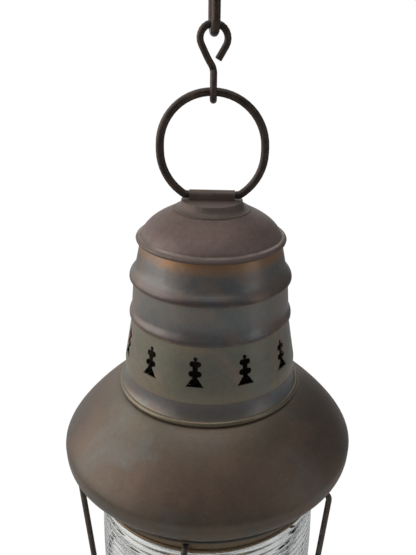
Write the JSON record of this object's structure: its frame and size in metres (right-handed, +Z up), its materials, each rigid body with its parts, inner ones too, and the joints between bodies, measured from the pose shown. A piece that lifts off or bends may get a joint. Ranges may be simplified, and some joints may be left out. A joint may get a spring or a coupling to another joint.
{
  "type": "hanging oil lantern",
  "caption": "Copper ship's oil lantern with a domed cap, stepped chimney with vents, wide shade, ribbed glass globe in a rod guard and a twist-out oil font, hung by a ring and S-hook.",
  "frame": {"origin": "where the next chain link bears, inside the top bow of the chain link, on the lantern's vertical centre line", "axes": "+Z up along the lantern's centre line, -Y towards the front seen in the source picture, +X to its right"},
  "size_m": [0.24, 0.24, 0.6377],
  "materials": {
    "dark_iron": "rough, dark brown",
    "old_copper": "aged copper, brown to grey-green patina, satin",
    "grey_copper": "aged copper, grey-green patina, satin",
    "shade_copper": "aged copper, tan to red-brown, satin",
    "aged_brass": "aged brass, satin",
    "clean_brass": "brass kept clean inside the guard, satin",
    "rod_iron": "dark, satin",
    "gasket_felt": "pale felt",
    "ribbed_glass": "clear, ribbed",
    "wick_cotton": "woven cotton"
  },
  "bodies": {
    "chain": {"chain_link": "dark_iron"},
    "hook": {"s_hook": "dark_iron"},
    "ring": {"hanging_ring": "dark_iron"},
    "lantern": {"ring_strap": "old_copper", "crown_disc": "old_copper", "cap": "old_copper", "heat_shield": "old_copper", "shield_stem": "old_copper", "cap_legs": "old_copper", "upper_drum": "grey_copper", "middle_drum": "grey_copper", "vent_drum": "grey_copper", "wind_baffle": "grey_copper", "baffle_tabs": "grey_copper", "neck_collar": "grey_copper", "neck_ring": "aged_brass", "shade": "shade_copper", "shade_rim_wire": "shade_copper", "globe_collar": "aged_brass", "top_gasket": "gasket_felt", "globe": "ribbed_glass", "lower_gasket": "gasket_felt", "globe_seat": "aged_brass", "guard_rods": "rod_iron", "guard_hoop": "rod_iron", "rod_nuts": "aged_brass", "base_drum": "shade_copper", "base_foot": "shade_copper", "bayonet_ring": "aged_brass"},
    "font": {"font_plate": "shade_copper", "font_grip": "aged_brass", "oil_font": "clean_brass", "burner_collar": "clean_brass", "air_basket": "clean_brass", "burner_dome": "clean_brass", "wick_tube": "clean_brass"},
    "filler": {"filler_cap": "clean_brass"},
    "wick": {"wick": "wick_cotton"},
    "wick_spindle": {"wick_shaft": "clean_brass", "wick_knob": "clean_brass"}
  },
  "joints": [
    {"name": "hook_swing", "type": "hinge", "parent": "chain", "child": "hook", "pos_m": [0, 0, -0.029], "axis": [0, 1, 0], "range_deg": [-35, 35]},
    {"name": "ring_swing", "type": "hinge", "parent": "hook", "child": "ring", "pos_m": [0, 0, -0.068], "axis": [1, 0, 0], "range_deg": [-40, 40]},
    {"name": "lantern_tilt", "type": "hinge", "parent": "ring", "child": "lantern", "pos_m": [0, 0, -0.14213], "axis": [1, 0, 0], "range_deg": [-80, 80]},
    {"name": "font_twist", "type": "hinge", "parent": "lantern", "child": "font", "pos_m": [0, 0, -0.62], "axis": [0, 0, 1], "range_deg": [-30, 0]},
    {"name": "filler_turn", "type": "hinge", "parent": "font", "child": "filler", "pos_m": [0.038, 0, -0.565], "axis": [0, 0, 1], "range_deg": [0, 360]},
    {"name": "wick_knob_turn", "type": "hinge", "parent": "font", "child": "wick_spindle", "pos_m": [0, 0.0046, -0.55411], "axis": [1, 0, 0], "range_deg": [-160, 45]},
    {"name": "wick_lift", "type": "slide", "parent": "font", "child": "wick", "axis": [0, 0, 1], "range_m": [-0.003, 0.01]}
  ],
  "couplings": [
    {"joint": "wick_lift", "follows": "wick_knob_turn", "m_per_rad": -0.0035}
  ]
}
